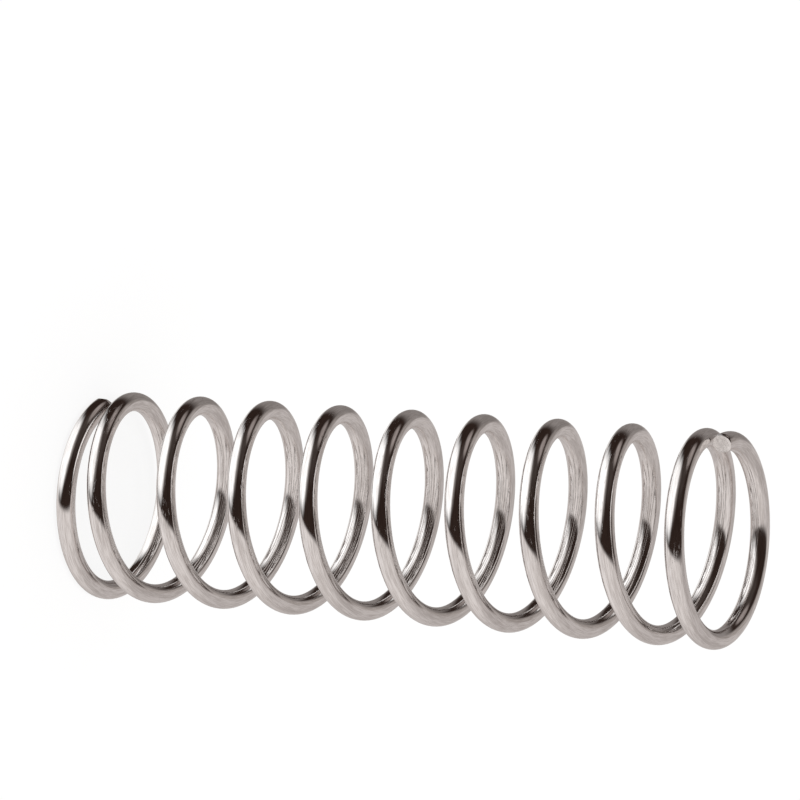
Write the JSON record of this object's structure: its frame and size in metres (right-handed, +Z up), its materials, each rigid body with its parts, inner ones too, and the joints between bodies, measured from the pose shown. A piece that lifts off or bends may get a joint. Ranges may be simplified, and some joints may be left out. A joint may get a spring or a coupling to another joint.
{
  "type": "compression spring",
  "caption": "Helical compression spring of round bright wire, coiled right-handed, with closed and unground ends.",
  "frame": {"origin": "middle of the base, on the coil's axis, where the bottom turn rests", "axes": "+Z up the coil's axis; both wire tips lie on the -X side"},
  "size_m": [0.01, 0.01, 0.0325],
  "materials": {
    "spring_wire": "bright drawn spring wire, nickel-plated, with fine drawing lines along it"
  },
  "bodies": {
    "root": {"spring_coil": "spring_wire"}
  },
  "joints": []
}
